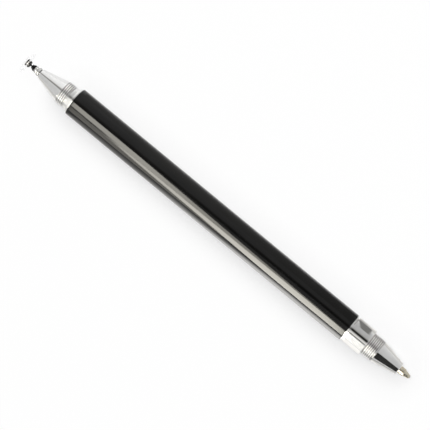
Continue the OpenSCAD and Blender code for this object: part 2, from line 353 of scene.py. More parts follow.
def arc(centre_station, radius, from_deg, to_deg):
    """Points of an arc about a point on the axis; the angle is measured from the outward direction."""
    angles = [
        math.radians(from_deg + (to_deg - from_deg) * step / ARC_STEPS) for step in range(ARC_STEPS + 1)
    ]
    return [(radius * math.sin(angle), centre_station + radius * math.cos(angle)) for angle in angles]


def bead(start, end, foot_r, top_r):
    """Points of a rounded bead between two stations."""
    angles = [math.pi * step / BEAD_STEPS for step in range(BEAD_STEPS + 1)]
    return [
        (foot_r + (top_r - foot_r) * math.sin(angle), start + (end - start) * (1 - math.cos(angle)) / 2)
        for angle in angles
    ]


def circle(centre_r, centre_station, radius):
    """Points of a full circle in an outline, for a ring of round wire."""
    angles = [2 * math.pi * step / WIRE_STEPS for step in range(WIRE_STEPS)]
    return [
        (centre_r + radius * math.cos(angle), centre_station + radius * math.sin(angle))
        for angle in angles
    ]


# Shader nodes

def add_node(tree, kind, sockets=None, **settings):
    """Adds a shader node, with its settings and with each named socket linked or set."""
    node = tree.nodes.new(kind)
    for key, value in settings.items():
        setattr(node, key, value)
    set_sockets(tree, node, sockets or {})
    return node


def set_sockets(tree, node, sockets):
    for key, value in sockets.items():
        if isinstance(value, bpy.types.NodeSocket):
            tree.links.new(value, node.inputs[key])
        else:
            node.inputs[key].default_value = value


def maths(tree, operation, *values):
    """Result of a sum on linked or plain values."""
    node = add_node(tree, "ShaderNodeMath", dict(enumerate(values)), operation=operation)
    return node.outputs["Value"]


def stretched_noise(tree, size_mm, detail=3.0):
    """Noise on the piece's own coordinates, with a grain of the given size along X, Y and Z."""
    place = add_node(tree, "ShaderNodeTexCoord")
    mapping = add_node(tree, "ShaderNodeMapping", {
        "Vector": place.outputs["Object"],
        "Scale": tuple(1 / (MM * size) for size in size_mm),
    })
    noise = add_node(tree, "ShaderNodeTexNoise", {
        "Vector": mapping.outputs["Vector"], "Scale": 1.0, "Detail": detail, "Roughness": 0.55,
    })
    return noise.outputs["Fac"]


def ranged(tree, value, low, high, from_low=0.3, from_high=0.7):
    """Maps a value, such as a noise, from one range to another, and holds it at the ends."""
    node = add_node(tree, "ShaderNodeMapRange", {
        "Value": value, "From Min": from_low, "From Max": from_high, "To Min": low, "To Max": high,
    })
    return node.outputs["Result"]


def shaded(tree, value, low_colour, high_colour, low_at=0.35, high_at=0.65):
    """Spreads a noise between two colours."""
    ramp = add_node(tree, "ShaderNodeValToRGB", {"Fac": value})
    ends = ((low_at, low_colour), (high_at, high_colour))
    for element, (position, colour) in zip(ramp.color_ramp.elements, ends):
        element.position = position
        element.color = (*colour, 1)
    return ramp.outputs["Color"]


def relief(tree, height, depth_mm, below=None):
    """A bump of the given depth, on top of another one if there is one."""
    sockets = {"Height": height, "Strength": 1.0, "Distance": depth_mm * MM}
    if below is not None:
        sockets["Normal"] = below
    return add_node(tree, "ShaderNodeBump", sockets).outputs["Normal"]


def distance_from(tree, station_x=None):
    """Distance in millimetres from the pen's axis or from a plane across it, at a place on the piece."""
    location, scale = (0, 0, -AXIS_Z / MM), (0, 1 / MM, 1 / MM)
    if station_x is not None:
        location, scale = (-station_x / MM, 0, 0), (1 / MM, 0, 0)
    place = add_node(tree, "ShaderNodeTexCoord")
    measured = add_node(tree, "ShaderNodeMapping", {
        "Vector": place.outputs["Object"], "Location": location, "Scale": scale,
    })
    length = add_node(tree, "ShaderNodeVectorMath", {0: measured.outputs["Vector"]}, operation="LENGTH")
    return length.outputs["Value"]


def seen_directly(tree):
    """1 for what the camera sees, also through the clear disc, and 0 for what lights or mirrors."""
    path = add_node(tree, "ShaderNodeLightPath").outputs
    return maths(tree, "MAXIMUM", path["Is Camera Ray"], path["Is Transmission Ray"])


# Materials

def finish_material(name, **sockets):
    """A new material and its tree, with plain values set on the shader."""
    material = bpy.data.materials.new(name)
    material.use_nodes = True
    tree = material.node_tree
    shader = tree.nodes["Principled BSDF"]
    set_sockets(tree, shader, {key.replace("_", " "): value for key, value in sockets.items()})
    return material, tree, shader


def lacquer():
    """Gloss black lacquer over a drawn tube: long faint draw lines and a soft haze."""
    material, tree, shader = finish_material("gloss_lacquer", IOR=1.4, Metallic=0.0)
    haze = stretched_noise(tree, (9, 2.2, 2.2))
    draw_lines = stretched_noise(tree, (60, 0.22, 0.22), detail=2.0)
    orange_peel = stretched_noise(tree, (1.4, 0.9, 0.9), detail=1.0)
    set_sockets(tree, shader, {
        "Base Color": shaded(tree, haze, (0.0025, 0.0025, 0.0024), (0.0045, 0.0044, 0.0042)),
        "Roughness": ranged(tree, haze, 0.07, 0.12),
        "Normal": relief(tree, draw_lines, 0.0007, relief(tree, orange_peel, 0.0006)),
    })
    return material


# Part of a plated piece with painted shade or light, its colour scaled by a level: full up to the near
# distance in millimetres from the pen's axis, or from the plane across it at a station, and none past the
# far one
PaintedShading = collections.namedtuple("PaintedShading", "level near far roughness station_x", defaults=(0.0, None))


def plated(name, dull, bright, smooth, hazy, mark_mm=0.0003, core=None):
    """Plating or bare metal on a turned piece: marks round the axis, light haze and fine scratches.

    In a core the colour is scaled by a level, which paints shade or light there, and it is at least as
    rough as the core says."""
    material, tree, shader = finish_material(name, Metallic=1.0)
    haze = stretched_noise(tree, (1.6, 1.1, 1.1))
    turning = stretched_noise(tree, (0.05, 40, 40), detail=2.0)
    scratches = stretched_noise(tree, (2.5, 0.06, 0.06), detail=1.0)
    colour = shaded(tree, haze, dull, bright)
    roughness = ranged(tree, haze, smooth, hazy)
    if core:
        # Painted shade or light: the colour is scaled by the core's level near the axis or near the plane
        distance = distance_from(tree, core.station_x)
        scale = ranged(tree, distance, core.level, 1.0, core.near, core.far)
        scaled = add_node(tree, "ShaderNodeVectorMath", {0: colour, "Scale": scale}, operation="SCALE")
        colour = scaled.outputs["Vector"]
        least = ranged(tree, distance, core.roughness, 0.0, core.near, core.far)
        roughness = maths(tree, "MAXIMUM", roughness, least)
    set_sockets(tree, shader, {
        "Base Color": colour,
        "Roughness": roughness,
        "Normal": relief(tree, turning, mark_mm, relief(tree, scratches, mark_mm / 2)),
    })
    return material


def clear_plastic():
    """Clear moulded plastic with the faintest haze and flow lines, clearest in the middle."""
    material, tree, shader = finish_material("clear_plastic", IOR=1.49, Transmission_Weight=1.0)
    flow = stretched_noise(tree, (0.8, 1.2, 1.2))
    set_sockets(tree, shader, {
        "Alpha": ranged(tree, distance_from(tree), 0.03, 0.14, DISC_BOSS_R, DISC_R - 0.2),
        "Base Color": shaded(tree, flow, (0.98, 0.985, 0.987), (0.99, 0.992, 0.993)),
        "Roughness": ranged(tree, flow, 0.01, 0.03),
        "Normal": relief(tree, flow, 0.0006),
    })
    return material


def rubber():
    """Matt moulded rubber with a fine grain."""
    material, tree, shader = finish_material("seal_rubber", IOR=1.5)
    grain = stretched_noise(tree, (0.08, 0.08, 0.08))
    bloom = stretched_noise(tree, (0.9, 0.9, 0.9))
    set_sockets(tree, shader, {
        "Base Color": shaded(tree, bloom, (0.016, 0.016, 0.017), (0.032, 0.032, 0.033)),
        "Roughness": ranged(tree, bloom, 0.5, 0.7),
        "Normal": relief(tree, grain, 0.004),
    })
    return material


def moulded_plastic():
    """Off-white moulded plastic, slightly waxy."""
    material, tree, shader = finish_material(
        "moulded_plastic", IOR=1.5, Subsurface_Weight=0.15, Subsurface_Radius=(0.0008, 0.0007, 0.0006))
    grain = stretched_noise(tree, (0.15, 0.15, 0.15))
    tone = stretched_noise(tree, (4, 2, 2))
    set_sockets(tree, shader, {
        "Base Color": shaded(tree, tone, (0.77, 0.77, 0.73), (0.83, 0.83, 0.8)),
        "Roughness": ranged(tree, tone, 0.36, 0.48),
        "Normal": relief(tree, grain, 0.002),
    })
    return material


def wet_ink():
    """Thick blue-black ink."""
    material, tree, shader = finish_material("wet_ink", IOR=1.42)
    swirl = stretched_noise(tree, (3, 0.5, 0.5))
    set_sockets(tree, shader, {
        "Base Color": shaded(tree, swirl, (0.006, 0.007, 0.016), (0.012, 0.014, 0.03)),
        "Roughness": ranged(tree, swirl, 0.06, 0.14),
        "Normal": relief(tree, swirl, 0.004),
    })
    return material


# Painted shade: the plating's colour is darkened, and made rougher, in a cap thread's roots, and darkened
# in the groove by the large bead
# Painted light: the dark steel of the hub and rivet is painted bright on the faces where the disc turns
THREAD_ROOT_SHADE = PaintedShading(0.2, CAP_ROOT_R + 0.02, CAP_ROOT_R + 0.07, 0.3)
# Painted shade: the colour is darkened to 0.55 within 0.2 mm of the plane by the cone's mouth
BEAD_GROOVE = PaintedShading(0.55, 0.2, 0.4, station_x=barrel_low.x - (STYLUS_MOUTH + 0.1) * MM)
# Painted light: the colour is scaled fourteen times on the faces within 0.18 mm of the plane where the
# disc turns
PAINTED_SEAT_LIGHT = PaintedShading(14.0, 0.18, 0.2, station_x=barrel_low.x - (HUB_SEAT + HUB_END) / 2 * MM)

# Metals, each as (dull colour, bright colour, least roughness, most roughness[, depth of the marks])
CHROME = ((0.82, 0.82, 0.81), (0.87, 0.87, 0.86), 0.035, 0.07)
GREY_CHROME = ((0.55, 0.55, 0.54), (0.61, 0.61, 0.6), 0.035, 0.07)
BRASS = ((0.71, 0.52, 0.24), (0.8, 0.61, 0.31), 0.18, 0.3, 0.001)
BLACK_STEEL = ((0.014, 0.014, 0.014), (0.028, 0.028, 0.027), 0.2, 0.3, 0.0006)
DARK_STEEL = ((0.05, 0.049, 0.047), (0.075, 0.073, 0.07), 0.1, 0.17, 0.0004)
NICKEL = ((0.63, 0.575, 0.46), (0.7, 0.64, 0.52), 0.16, 0.26, 0.0006)
NICKEL_SILVER = ((0.66, 0.61, 0.49), (0.73, 0.68, 0.56), 0.12, 0.2, 0.0006)
CARBIDE = ((0.5, 0.5, 0.49), (0.58, 0.58, 0.57), 0.1, 0.16)

FINISHES = {
    "barrel_lacquer": lacquer(),
    "chrome": plated("bright_chrome", *CHROME),
    "insert_brass": plated("turned_brass", *BRASS),
    "stud_black": plated("blackened_steel", *BLACK_STEEL),
    # The dark steel with painted light on the faces where the disc turns
    "hub_steel": plated("dark_steel", *DARK_STEEL, core=PAINTED_SEAT_LIGHT),
    "clear_disc": clear_plastic(),
    "seal_rubber": rubber(),
    "holder_plastic": moulded_plastic(),
    "refill_metal": plated("drawn_nickel", *NICKEL),
    "point_metal": plated("nickel_silver", *NICKEL_SILVER),
    "ink": wet_ink(),
    "ball_carbide": plated("ground_carbide", *CARBIDE),
}
# Chrome with painted shade in its thread roots
THREADED_CHROME = plated("threaded_chrome", *CHROME, core=THREAD_ROOT_SHADE)
# Grey chrome with painted shade in the groove by the large bead
BEADED_CHROME = plated("beaded_chrome", *GREY_CHROME, core=BEAD_GROOVE)


# Barrel

def add_barrel():
    turned("lacquered_tube", "barrel", PEN_END, [
        (BORE_R, -BARREL_LEN, 0.05), (BARREL_R, -BARREL_LEN, 0.15),
        (BARREL_R, 0, 0.15), (BORE_R, 0, 0.05),
    ], closed=True, segments=BARREL_SEGMENTS)


# Stylus end

def cone_spigot(cone_start):
    """Outline of a cone's spigot: its tail, the fine thread and the seal's groove."""
    tail = cone_start - CONE_SPIGOT_LEN
    thread_start = tail + CONE_LEAD_IN_LEN
    groove = cone_start - SEAL_ROOM
    return [
        (CONE_ROOT_R - CONE_LEAD_IN_DEPTH, tail, 0.05), (CONE_ROOT_R, thread_start),
        Thread((thread_start, groove - CONE_UNDERCUT_LEN), CONE_CREST_R, CONE_ROOT_R, CONE_PITCH),
        (CONE_ROOT_R, groove, 0.03), (SEAL_GROOVE_R, groove), (SEAL_GROOVE_R, cone_start, 0.08),
    ]


def add_seal(name, node, place, cone_start):
    ring = circle(SEAL_RING_R, cone_start - SEAL_ROOM / 2, SEAL_WIRE_R)
    turned(name, node, place, ring, closed=True)


def add_stylus_end():
    turned("stylus_ring", "stylus_trim_ring", STYLUS_END, [
        (INSERT_BORE_R, 0), (STYLUS_RING_R, 0, 0.08),
        (STYLUS_RING_R, STYLUS_RING_LEN, 0.2), (INSERT_BORE_R, STYLUS_RING_LEN),
    ], closed=True)
    thread_start, thread_end = STYLUS_THREAD
    bore_bottom = -STYLUS_INSERT_LEN + NECK_END_WALL
    seat = STYLUS_CONE_START - SEAL_ROOM - SEAL_SLACK
    turned("threaded_neck", "stylus_neck", STYLUS_END, [
        (0, -STYLUS_INSERT_LEN), (SPIGOT_R, -STYLUS_INSERT_LEN, 0.2), (SPIGOT_R, STYLUS_RING_LEN),
        (NECK_R, STYLUS_RING_LEN, 0.04), (NECK_R, thread_start - NECK_TO_THREAD, 0.06),
        (CAP_ROOT_R, thread_start - THREAD_RELIEF, 0.03),
        Thread(STYLUS_THREAD, CAP_CREST_R, CAP_ROOT_R, CAP_PITCH),
        (STYLUS_CONE_BASE_R, thread_end + THREAD_RELIEF, 0.02),
        (STYLUS_CONE_BASE_R, STYLUS_CONE_START, 0.02),
        (SEAL_SEAT_R, STYLUS_CONE_START, 0.03), (SEAL_SEAT_R, seat), (CONE_BORE_R, seat, 0.05),
        (CONE_BORE_R, bore_bottom), (0, bore_bottom - NECK_DRILL_TIP),
    ], finish=THREADED_CHROME)
    turned("stylus_nose", "stylus_cone", STYLUS_END, [
        (0, STYLUS_CONE_START - CONE_SPIGOT_LEN),
        *cone_spigot(STYLUS_CONE_START),
        (STYLUS_CONE_BASE_R, STYLUS_CONE_START, 0.03), (STYLUS_MOUTH_R, STYLUS_MOUTH, 0.08),
        (BUSH_R + PRESS_GAP, STYLUS_MOUTH, 0.03), (BUSH_R + PRESS_GAP, BUSH_SEAT_END),
        (0, BUSH_DRILL_END),
    ])
    turned("beaded_bush", "swivel_bush", STYLUS_END, [
        (BUSH_BORE_R, BUSH_TAIL), (BUSH_R, BUSH_TAIL, 0.05), (BUSH_R, STYLUS_MOUTH),
        (BEAD_GROOVE_R, STYLUS_MOUTH),
        *bead(STYLUS_MOUTH + BEAD_GROOVE_LEN, LARGE_BEAD_END, BEAD_GROOVE_R, LARGE_BEAD_R),
        *bead(LARGE_BEAD_END, BUSH_FRONT, SMALL_BEAD_FOOT_R, SMALL_BEAD_R),
        (BUSH_BORE_R, BUSH_FRONT, 0.03),
    ], closed=True, finish=BEADED_CHROME)
    add_seal("stylus_seal_ring", "stylus_o_ring", STYLUS_END, STYLUS_CONE_START)


# Disc tip

def add_disc_tip():
    neck_meets_ball = math.degrees(math.pi - math.asin(STUD_NECK_R / BALL_R))
    turned("flared_stud", "ball_stud", STYLUS_END, [
        (0, STUD_TAIL), (STUD_HEAD_R, STUD_TAIL, 0.08), (STUD_HEAD_R, STUD_TAIL + STUD_HEAD_LEN, 0.05),
        (STUD_R, STUD_TAIL + STUD_HEAD_LEN), (STUD_R, FLARE_START), (FLARE_R, FLARE_START, 0.03),
        (*FLARE_LIP, 0.1), (*WAIST_START, 0.2), (WAIST_R, WAIST_END, 0.1), (STUD_NECK_R, FLARE_END, 0.08),
        *arc(BALL_AT, BALL_R, neck_meets_ball, 0),
    ])
    mouth_deg = math.degrees(math.acos((CUP_MOUTH - BALL_AT) / SOCKET_R))
    hole_bottom = HUB_END - RIVET_SHANK_LEN - FACE_GAP
    turned("socket_cup", "disc_hub", STYLUS_END, [
        *arc(BALL_AT, SOCKET_R, 0, mouth_deg),
        (CUP_R - CUP_BACK_BEVEL, CUP_MOUTH, 0.05), (CUP_R, CUP_MOUTH + CUP_BACK_BEVEL, 0.12),
        (CUP_R, HUB_SEAT - CUP_FRONT_BEVEL, 0.03), (CUP_R - CUP_FRONT_BEVEL, HUB_SEAT, 0.03),
        (HUB_BOSS_R, HUB_SEAT), (HUB_BOSS_R, HUB_END, 0.02), (RIVET_SHANK_R + PRESS_GAP, HUB_END),
        (RIVET_SHANK_R + PRESS_GAP, hole_bottom), (0, hole_bottom),
    ])
    dimple_floor_r, dimple_r = RIVET_DIMPLE_R
    turned("button_rivet", "disc_rivet", STYLUS_END, [
        (0, HUB_END - RIVET_SHANK_LEN), (RIVET_SHANK_R, HUB_END - RIVET_SHANK_LEN),
        (RIVET_SHANK_R, HUB_END), (RIVET_R, HUB_END, 0.03), (RIVET_R, RIVET_END, 0.06),
        (dimple_r, RIVET_END, 0.03), (dimple_floor_r, RIVET_DIMPLE_FLOOR, 0.03), (0, RIVET_DIMPLE_FLOOR),
    ])
    disc = turned("clear_touch_disc", "stylus_disc", STYLUS_END, [
        (HUB_BOSS_R + RUN_GAP, DISC_BACK), (DISC_BOSS_R, DISC_BACK, 0.1), (DISC_BOSS_R, PLATE_BACK, 0.08),
        (DISC_R, PLATE_BACK, 0.1), (DISC_R, DISC_FRONT, 0.2), (RIVET_R + RUN_GAP, DISC_FRONT, 0.02),
        (RIVET_R + RUN_GAP, DISC_FLOOR), (HUB_BOSS_R + RUN_GAP, DISC_FLOOR),
    ], closed=True)
    disc.visible_shadow = False


# Pen end

def add_pen_end():
    turned("pen_ring", "pen_trim_ring", PEN_END, [
        (INSERT_BORE_R, 0), (COLLAR_R, 0, 0.07),
        (COLLAR_R, PEN_RING_LEN, 0.07), (INSERT_BORE_R, PEN_RING_LEN),
    ], closed=True)
    bore_bottom = PEN_CONE_START - CONE_SPIGOT_LEN - COLLAR_BORE_SPARE
    seat = PEN_CONE_START - SEAL_ROOM - SEAL_SLACK
    turned("threaded_collar", "pen_collar", PEN_END, [
        (COLLAR_WAY_R, -PEN_INSERT_LEN), (SPIGOT_R, -PEN_INSERT_LEN, 0.2), (SPIGOT_R, PEN_RING_LEN),
        (COLLAR_GROOVE_R, PEN_RING_LEN, 0.03), (COLLAR_GROOVE_R, COLLAR_GROOVE_END, 0.03),
        (COLLAR_R, COLLAR_GROOVE_END, 0.05), (COLLAR_R, COLLAR_LEN - COLLAR_BEVEL, 0.08),
        (COLLAR_R - COLLAR_BEVEL, COLLAR_LEN, 0.08), (CAP_ROOT_R, COLLAR_LEN, 0.02),
        Thread(PEN_THREAD, CAP_CREST_R, CAP_ROOT_R, CAP_PITCH),
        (CAP_ROOT_R, COLLAR_END, 0.05), (SEAL_SEAT_R, COLLAR_END, 0.03), (SEAL_SEAT_R, seat),
        (CONE_BORE_R, seat, 0.05), (CONE_BORE_R, bore_bottom),
        (COLLAR_WAY_R, bore_bottom - COLLAR_BORE_TAPER),
    ], closed=True, finish=THREADED_CHROME)
    turned("pen_nose", "pen_cone", PEN_END, [
        (CONE_WAY_R, PEN_CONE_START - CONE_SPIGOT_LEN),
        *cone_spigot(PEN_CONE_START),
        (PEN_CONE_BASE_R, PEN_CONE_START, 0.04), (PEN_MOUTH_R, PEN_MOUTH, 0.25),
        (GUIDE_R + MOUTH_BEVEL, PEN_MOUTH, 0.04), (GUIDE_R, PEN_MOUTH - MOUTH_BEVEL, 0.04),
        (GUIDE_R, GUIDE_START), (CONE_WAY_R, GUIDE_START - CONE_WAY_TAPER),
    ], closed=True)
    add_seal("pen_seal_ring", "pen_o_ring", PEN_END, PEN_CONE_START)


# Refill

def add_refill():
    turned("refill_barrel", "refill_tube", PEN_END, [
        (TUBE_BORE_R, TUBE_TAIL), (REFILL_R, TUBE_TAIL, 0.04),
        (REFILL_R, TUBE_END, 0.06), (TUBE_BORE_R, TUBE_END),
    ], closed=True)
    channel_deg = math.degrees(math.pi - math.asin(INK_WAY_R / POINT_SOCKET_R))
    lip_deg = math.degrees(math.acos((POINT_LIP - POINT_BALL_AT) / POINT_SOCKET_R))
    turned("writing_point", "refill_point", PEN_END, [
        (INK_WAY_R, POINT_PLUG_TAIL), (POINT_PLUG_R, POINT_PLUG_TAIL, 0.05), (POINT_PLUG_R, TUBE_END),
        (POINT_SHOULDER_R, TUBE_END, 0.03), (POINT_SHOULDER_R, POINT_SHOULDER_END, 0.05),
        (*POINT_TAPER_START, 0.03), (*POINT_NOSE, 0.06), (POINT_LIP_R, POINT_LIP, 0.03),
        *arc(POINT_BALL_AT, POINT_SOCKET_R, lip_deg, channel_deg),
    ], closed=True)


# Inner pieces whose solids are right as they are

SOLIDS_KEPT = (
    "stylus_insert", "pen_insert", "refill_holder", "spacer_tube", "ink_column", "writing_ball",
)


def finish_inner_pieces():
    for node in SOLIDS_KEPT:
        piece = frame["nodes"][node]
        piece.data.materials.clear()
        piece.data.materials.append(FINISHES[SLOT_OF[node]])


# Camera: almost straight above the pen, turned so that the pen lies across the picture

PICTURE_UP = Vector((-0.63724, 0.77066, 0))
PICTURE_WIDTH = 0.12548
PICTURE_CENTRE = Vector((-0.00108, 0.00044, AXIS_Z))
CAMERA_AT = Vector((0.05, 0, AXIS_Z + 0.66))
SENSOR = 36.0
CLIP_START = 0.01


def add_camera():
    data = bpy.data.cameras.new("camera")
    data.sensor_width = SENSOR
    data.lens = SENSOR * (CAMERA_AT - PICTURE_CENTRE).length / PICTURE_WIDTH
    data.clip_start = CLIP_START
    camera = bpy.data.objects.new("camera", data)
    bpy.context.scene.collection.objects.link(camera)
    back = (CAMERA_AT - PICTURE_CENTRE).normalized()
    right = PICTURE_UP.cross(back).normalized()
    up = back.cross(right)
    turn = Matrix((right, up, back)).transposed().to_4x4()
    camera.matrix_world = Matrix.Translation(CAMERA_AT) @ turn
    bpy.context.scene.camera = camera


# Stage: a white floor, soft lamps, pale surroundings, and panels that only gloss sees.
# Places along the pen are in millimetres and other distances in metres.

WHITE = (1, 1, 1, 1)

# Share of plain white by the pen and away from it, the distances between which it rises,
# and the stretch of the pen that they are measured from
FLOOR_HALF = 4.0
FLOOR_GREY = (0.92, 0.92, 0.92, 1)
FLOOR_WHITE_SHARE = (0.6, 0.94)
FLOOR_FADE = (0.0065, 0.0125)
FLOOR_STRETCH = (-0.054, 0.066)

# Brightness of the surroundings in the gloss at the horizon and overhead, what is added to it past the
# disc and past the writing point, and the share of it that lights matt surfaces
HORIZON_LEVEL = 0.66
OVERHEAD_LEVEL = 0.42
PAST_DISC_LEVEL = 0.45
PAST_POINT_LEVEL = 0.3
SCATTERED_SHARE = 0.35

# Lamps, each as (place, width, watts)
LAMPS = {
    "top_lamp": (Vector((0, 0, 1)), 0.3, 3.8),
    "side_lamp": (Vector((0, 0.4, 0.95)), 0.85, 5.3),
}

# Colours of the panels: cards and floor, and the warmer soft boxes along the barrel
CARD_TINT = (1, 0.985, 0.955)
BOX_TINT = (1, 0.967, 0.87)

# Distances of the panels from the pen's axis, how far those on the floor lie above it, and the angle
# of the far side's rays that are level with the axis
BOX_DISTANCE = 0.4
WALL_DISTANCE = 0.42
GAP_DISTANCE = 0.7
CLOSE_DISTANCE = 0.06
PANEL_LIFT = 0.0002
LEVEL_WITH_AXIS = -90

# Soft boxes on the near side, as a distance, a tint and rows of
# (place, first angle, last angle, brightness)
SOFT_BOXES = {
    "tip_box": (BOX_DISTANCE, CARD_TINT, [(-80, 26, 60, 8.0), (-66.5, 26, 60, 8.0)]),
    "upper_box": (BOX_DISTANCE, BOX_TINT, [
        (-66, 10, 43, 2.5), (-56, 10, 43, 2.5), (-54.6, 10, 43, 10.5), (-28, 11, 43, 11.2),
        (-13, 17, 43, 9.8), (4.5, 23, 43, 7.0), (22, 29, 43, 6.3), (47, 38, 43, 6.3),
    ]),
    "lower_box": (BOX_DISTANCE, BOX_TINT, [
        (-37, 44, 54, 14.0), (-31, 44, 60, 14.7), (-13, 44, 68, 16.8), (4.5, 44, 77, 18.2),
        (22, 43, 86, 19.6), (50.2, 42, 86, 19.6), (51, 42, 86, 1.3), (66, 42, 86, 1.3),
        (67, 42, 86, 19.6), (80, 42, 86, 19.6),
    ]),
    "side_wall": (WALL_DISTANCE, BOX_TINT, [
        (-66, 50, 87, 2.0), (-56, 50, 87, 2.0), (-54.6, 50, 87, 3.4), (-37, 55, 87, 3.5),
        (-13, 69, 87, 3.5), (4.5, 78, 87, 3.5),
    ]),
}

# The floor on the near side and on the far side, as a side and rows of
# (place, brightness at each distance)
FLOOR_DISTANCES = (0.005, 0.0075, 0.011, 0.018, 0.036, 0.09)
FLOOR_PANELS = {
    "lit_floor": (-1, [
        (-130, (0.95, 0.9, 0.75, 0.62, 0.6, 0.6)),
        (-62.5, (0.95, 0.9, 0.75, 0.62, 0.6, 0.6)),
        (-61, (1.05, 1.1, 0.95, 0.8, 0.7, 0.6)),
        (-58, (1.05, 1.1, 0.95, 0.8, 0.7, 0.6)),
        (-55, (0.95, 0.9, 0.75, 0.62, 0.6, 0.6)),
        (-54, (0.9, 1.15, 1.4, 1.5, 1.3, 1.2)),
        (-30, (0.9, 1.15, 1.4, 1.5, 1.3, 1.2)),
        (-13, (0.9, 1.4, 2.4, 2.5, 1.6, 1.4)),
        (4.5, (0.9, 1.75, 4.0, 2.9, 1.6, 1.4)),
        (22, (0.9, 1.9, 4.9, 6.0, 3.6, 1.9)),
        (49.8, (0.9, 1.9, 5.0, 6.8, 3.6, 1.9)),
        (50.1, (0.95, 1.0, 1.1, 1.15, 1.15, 1.15)),
        (56.8, (0.95, 1.0, 1.1, 1.15, 1.15, 1.15)),
        (57.2, (1.0, 1.2, 1.2, 1.0, 0.85, 0.6)),
        (61, (1.0, 1.2, 1.2, 0.9, 0.7, 0.5)),
        (64, (0.85, 0.85, 0.75, 0.5, 0.38, 0.34)),
        (130, (0.85, 0.85, 0.75, 0.5, 0.38, 0.34)),
    ]),
    "far_floor": (1, [
        (50.1, (0.95, 0.75, 0.5, 0.34, 0.34, 0.34)),
        (53, (0.95, 0.75, 0.5, 0.34, 0.34, 0.34)),
        (55.8, (1.1, 0.95, 0.75, 0.62, 0.6, 0.6)),
        (56.8, (1.1, 0.95, 0.75, 0.62, 0.6, 0.6)),
        (57.2, (1.0, 0.78, 0.66, 0.66, 0.66, 0.66)),
        (61, (1.0, 0.78, 0.66, 0.66, 0.66, 0.66)),
        (64, (0.9, 0.85, 0.75, 0.66, 0.66, 0.66)),
        (130, (0.9, 0.85, 0.75, 0.66, 0.66, 0.66)),
    ]),
}

# The dark gap overhead that the camera looks through, as angles and as
# (slant, edge's brightness, brightness)
GAP_ANGLES = (-21, -9, 6)
OVERHEAD_GAP = ((-50, 0.9, 0.3), (-20, 0.6, 0.25), (-9, 0.5, 0.12), (0, 0.5, 0.02), (10, 0.5, 0.02))

# The dark opening past the writing point
OPENING_AT = 65
OPENING_SLANTS = (17, 28)
OPENING_ANGLES = (9, 45, 82)
OPENING_LEVEL = 0.03

# The wall on the far side, greyer towards the writing point, as (place, top angle, brightness),
# and how far from the pen its foot lies
FAR_WALL = ((-54.2, -80, 0.6), (-40, -75, 0.6), (-20, -52, 0.62), (10, -52, 0.52), (30, -45, 0.38),
            (50, -40, 0.27))
FAR_WALL_FOOT = 0.013

# The dark block by the collar on the far side, as (place of its top, of its side and of its foot)
COLLAR_BLOCK = ((52.35, 51.2, 51.0), (55.6, 55.6, 55.6))
BLOCK_TOP_ANGLE = -53
BLOCK_FOOT = 0.017
BLOCK_LEVEL = 0.2

# The upright strip by the stylus neck
NECK_STRIP = (-75, -63.7)
STRIP_HEIGHTS = (0.004, 0.01)
STRIP_LEVEL = 0.5

# Cards by the ends and a thin dark bar by the collar, as a distance, rows of
# (place, share of the brightness there) and rows of (angle, brightness)
CARDS = {
    "neck_card": (0.04, ((-55.6, 1), (-53.0, 1)), (
        (5, 0.5), (12, 0.72), (20, 0.95), (50, 1.0), (72, 1.0), (88, 0.72),
    )),
    "collar_card": (0.12, ((50.0, 1), (57.0, 1)), (
        (4, 0.3), (8, 0.42), (13, 0.78), (21, 0.82), (33, 0.8), (38, 1.08), (89, 1.1),
    )),
    "groove_card": (0.05, ((50.24, 1), (50.66, 1)), ((-90, 0.3), (-50, 0.3), (-34, 0.5))),
    "stylus_thread_card": (0.04, ((-55.65, 0.8), (-58.2, 1), (-66, 1)), (
        (-90, 2.2), (-47, 2.05), (-37, 1.8), (-28, 1.4), (-18, 1.0), (-9, 0.55), (0, 0.6), (9, 1.4),
        (18, 1.7), (28, 1.5), (37, 1.33), (47, 1.43), (68, 1.6), (80, 1.5), (90, 1.35),
    )),
    "pen_thread_card": (0.04, ((57.02, 1.3), (58, 1), (67, 1)), (
        (-90, 1.35), (-57, 1.35), (-47, 1.25), (-37, 1.1), (-28, 0.9), (-18, 0.6), (-9, 0.32), (0, 0.5),
        (9, 1.05), (18, 1.2), (28, 1.27), (37, 1.32), (47, 1.6), (57, 1.73), (68, 1.6), (80, 1.25),
        (90, 1.1),
    )),
    "thin_bar": (0.1, ((50.2, 1), (56.8, 1)), ((23.5, 0.05), (30, 0.05))),
}


def stage_object(name, points, faces):
    """A stage mesh with an empty material of its own, as (object, shader tree)."""
    mesh = bpy.data.meshes.new(name)
    mesh.from_pydata(points, [], faces)
    thing = bpy.data.objects.new(name, mesh)
    bpy.context.scene.collection.objects.link(thing)
    material = bpy.data.materials.new(name)
    material.use_nodes = True
    material.node_tree.nodes.clear()
    mesh.materials.append(material)
    return thing, material.node_tree


